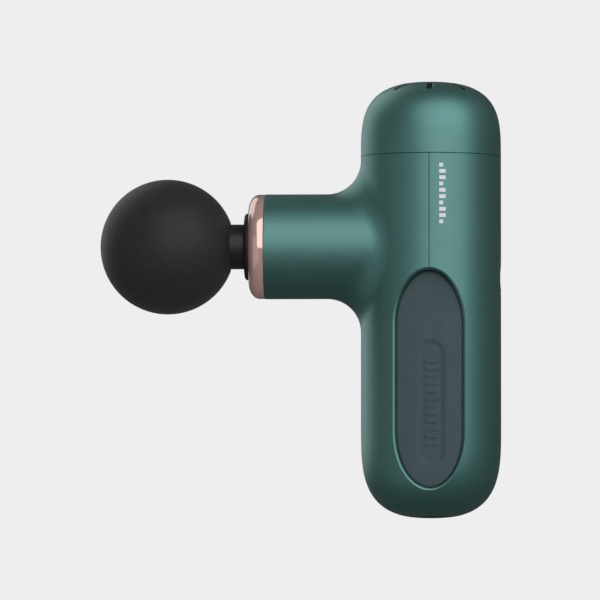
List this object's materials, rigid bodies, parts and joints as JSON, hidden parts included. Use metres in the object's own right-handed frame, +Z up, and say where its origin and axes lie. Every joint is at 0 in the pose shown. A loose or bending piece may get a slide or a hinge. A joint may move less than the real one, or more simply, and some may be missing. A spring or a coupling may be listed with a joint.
{
  "type": "massage gun",
  "caption": "Compact massage gun: round handle with a side neck, crank-driven piston, plated nose ring and pull-off ball head.",
  "frame": {"origin": "on the axis of the round handle, midway up the two grip panels, where a hand holds it", "axes": "+Z up the handle towards the vented cap; the neck and ball head point along -X; +Y across the handle"},
  "size_m": [0.1307, 0.0456, 0.1422],
  "materials": {
    "shell_teal": "satin metallic teal lacquer on moulded shells",
    "grip_slate": "matt slate silicone",
    "rose_gold": "polished rose-gold plating",
    "black_foam": "matt black closed-cell foam",
    "black_rubber": "matt black rubber",
    "black_plastic": "fine moulded black plastic",
    "button_grey": "satin grey plastic",
    "light_pipe": "frosted clear plastic",
    "cast_alloy": "cast and machined alloy",
    "bronze": "oiled sintered bronze",
    "steel": "ground steel",
    "dark_steel": "blackened steel",
    "magnet_nickel": "nickel-plated magnets",
    "copper": "enamelled copper wire",
    "cell_wrap": "shrink sleeve",
    "nickel_strip": "nickel strip",
    "board_green": "solder-masked circuit board",
    "chip_black": "moulded chip packages",
    "capacitor_blue": "sleeved capacitor cans",
    "wire_red": "silicone wire sleeve"
  },
  "bodies": {
    "housing": {"front_shell": "shell_teal", "rear_shell": "shell_teal", "top_cap": "shell_teal", "grip_panel_left": "grip_slate", "grip_panel_right": "grip_slate", "nose_ring": "rose_gold", "dust_seal": "black_rubber", "port_bezel": "black_plastic", "chassis": "cast_alloy", "sleeve_bushing": "bronze", "rubber_mounts": "black_rubber", "motor_base": "cast_alloy", "stator_core": "dark_steel", "stator_windings": "copper", "motor_bearings": "steel", "motor_screws": "steel", "battery_cells": "cell_wrap", "battery_holder": "black_plastic", "cell_tabs": "nickel_strip", "main_board": "board_green", "capacitors": "capacitor_blue", "driver_chips": "chip_black", "board_screws": "steel", "charge_board": "board_green", "usb_socket": "steel", "switch_board": "board_green", "tact_switch": "black_plastic", "status_leds": "light_pipe", "led_windows": "light_pipe", "shell_screws": "steel", "wire_harness": "wire_red"},
    "rotor": {"rotor_bell": "dark_steel", "rotor_magnets": "magnet_nickel", "motor_shaft": "steel", "cooling_fan": "black_plastic", "crank_disc": "cast_alloy", "crank_pin": "steel", "crank_screw": "steel"},
    "conrod": {"connecting_rod": "cast_alloy", "big_end_bearing": "steel", "small_end_bush": "bronze"},
    "piston": {"piston": "steel", "wrist_pin": "steel"},
    "head": {"massage_ball": "black_foam", "head_stem": "black_plastic", "o_ring": "black_rubber"},
    "button": {"power_button": "button_grey"},
    "plunger": {"switch_plunger": "light_pipe"}
  },
  "joints": [
    {"name": "motor_spin", "type": "hinge", "parent": "housing", "child": "rotor", "pos_m": [0, 0, 0.05], "axis": [0, 0, 1], "continuous": true},
    {"name": "crank_pivot", "type": "hinge", "parent": "rotor", "child": "conrod", "pos_m": [0.0035, 0, 0.04325], "axis": [0, 0, 1], "continuous": true},
    {"name": "piston_slide", "type": "slide", "parent": "housing", "child": "piston", "axis": [-1, 0, 0], "range_m": [0, 0.007]},
    {"name": "head_pull", "type": "slide", "parent": "piston", "child": "head", "axis": [-1, 0, 0], "range_m": [0, 0.024]},
    {"name": "button_press", "type": "slide", "parent": "housing", "child": "button", "axis": [-1, 0, 0], "range_m": [0, 0.0005], "stiffness_N_per_m": 1500, "springref_m": -0.0005},
    {"name": "plunger_press", "type": "slide", "parent": "housing", "child": "plunger", "axis": [-1, 0, 0], "range_m": [0, 0.0005]}
  ],
  "couplings": [
    {"joint": "crank_pivot", "follows": "motor_spin", "ratio": -1},
    {"joint": "plunger_press", "follows": "button_press", "ratio": 1}
  ]
}
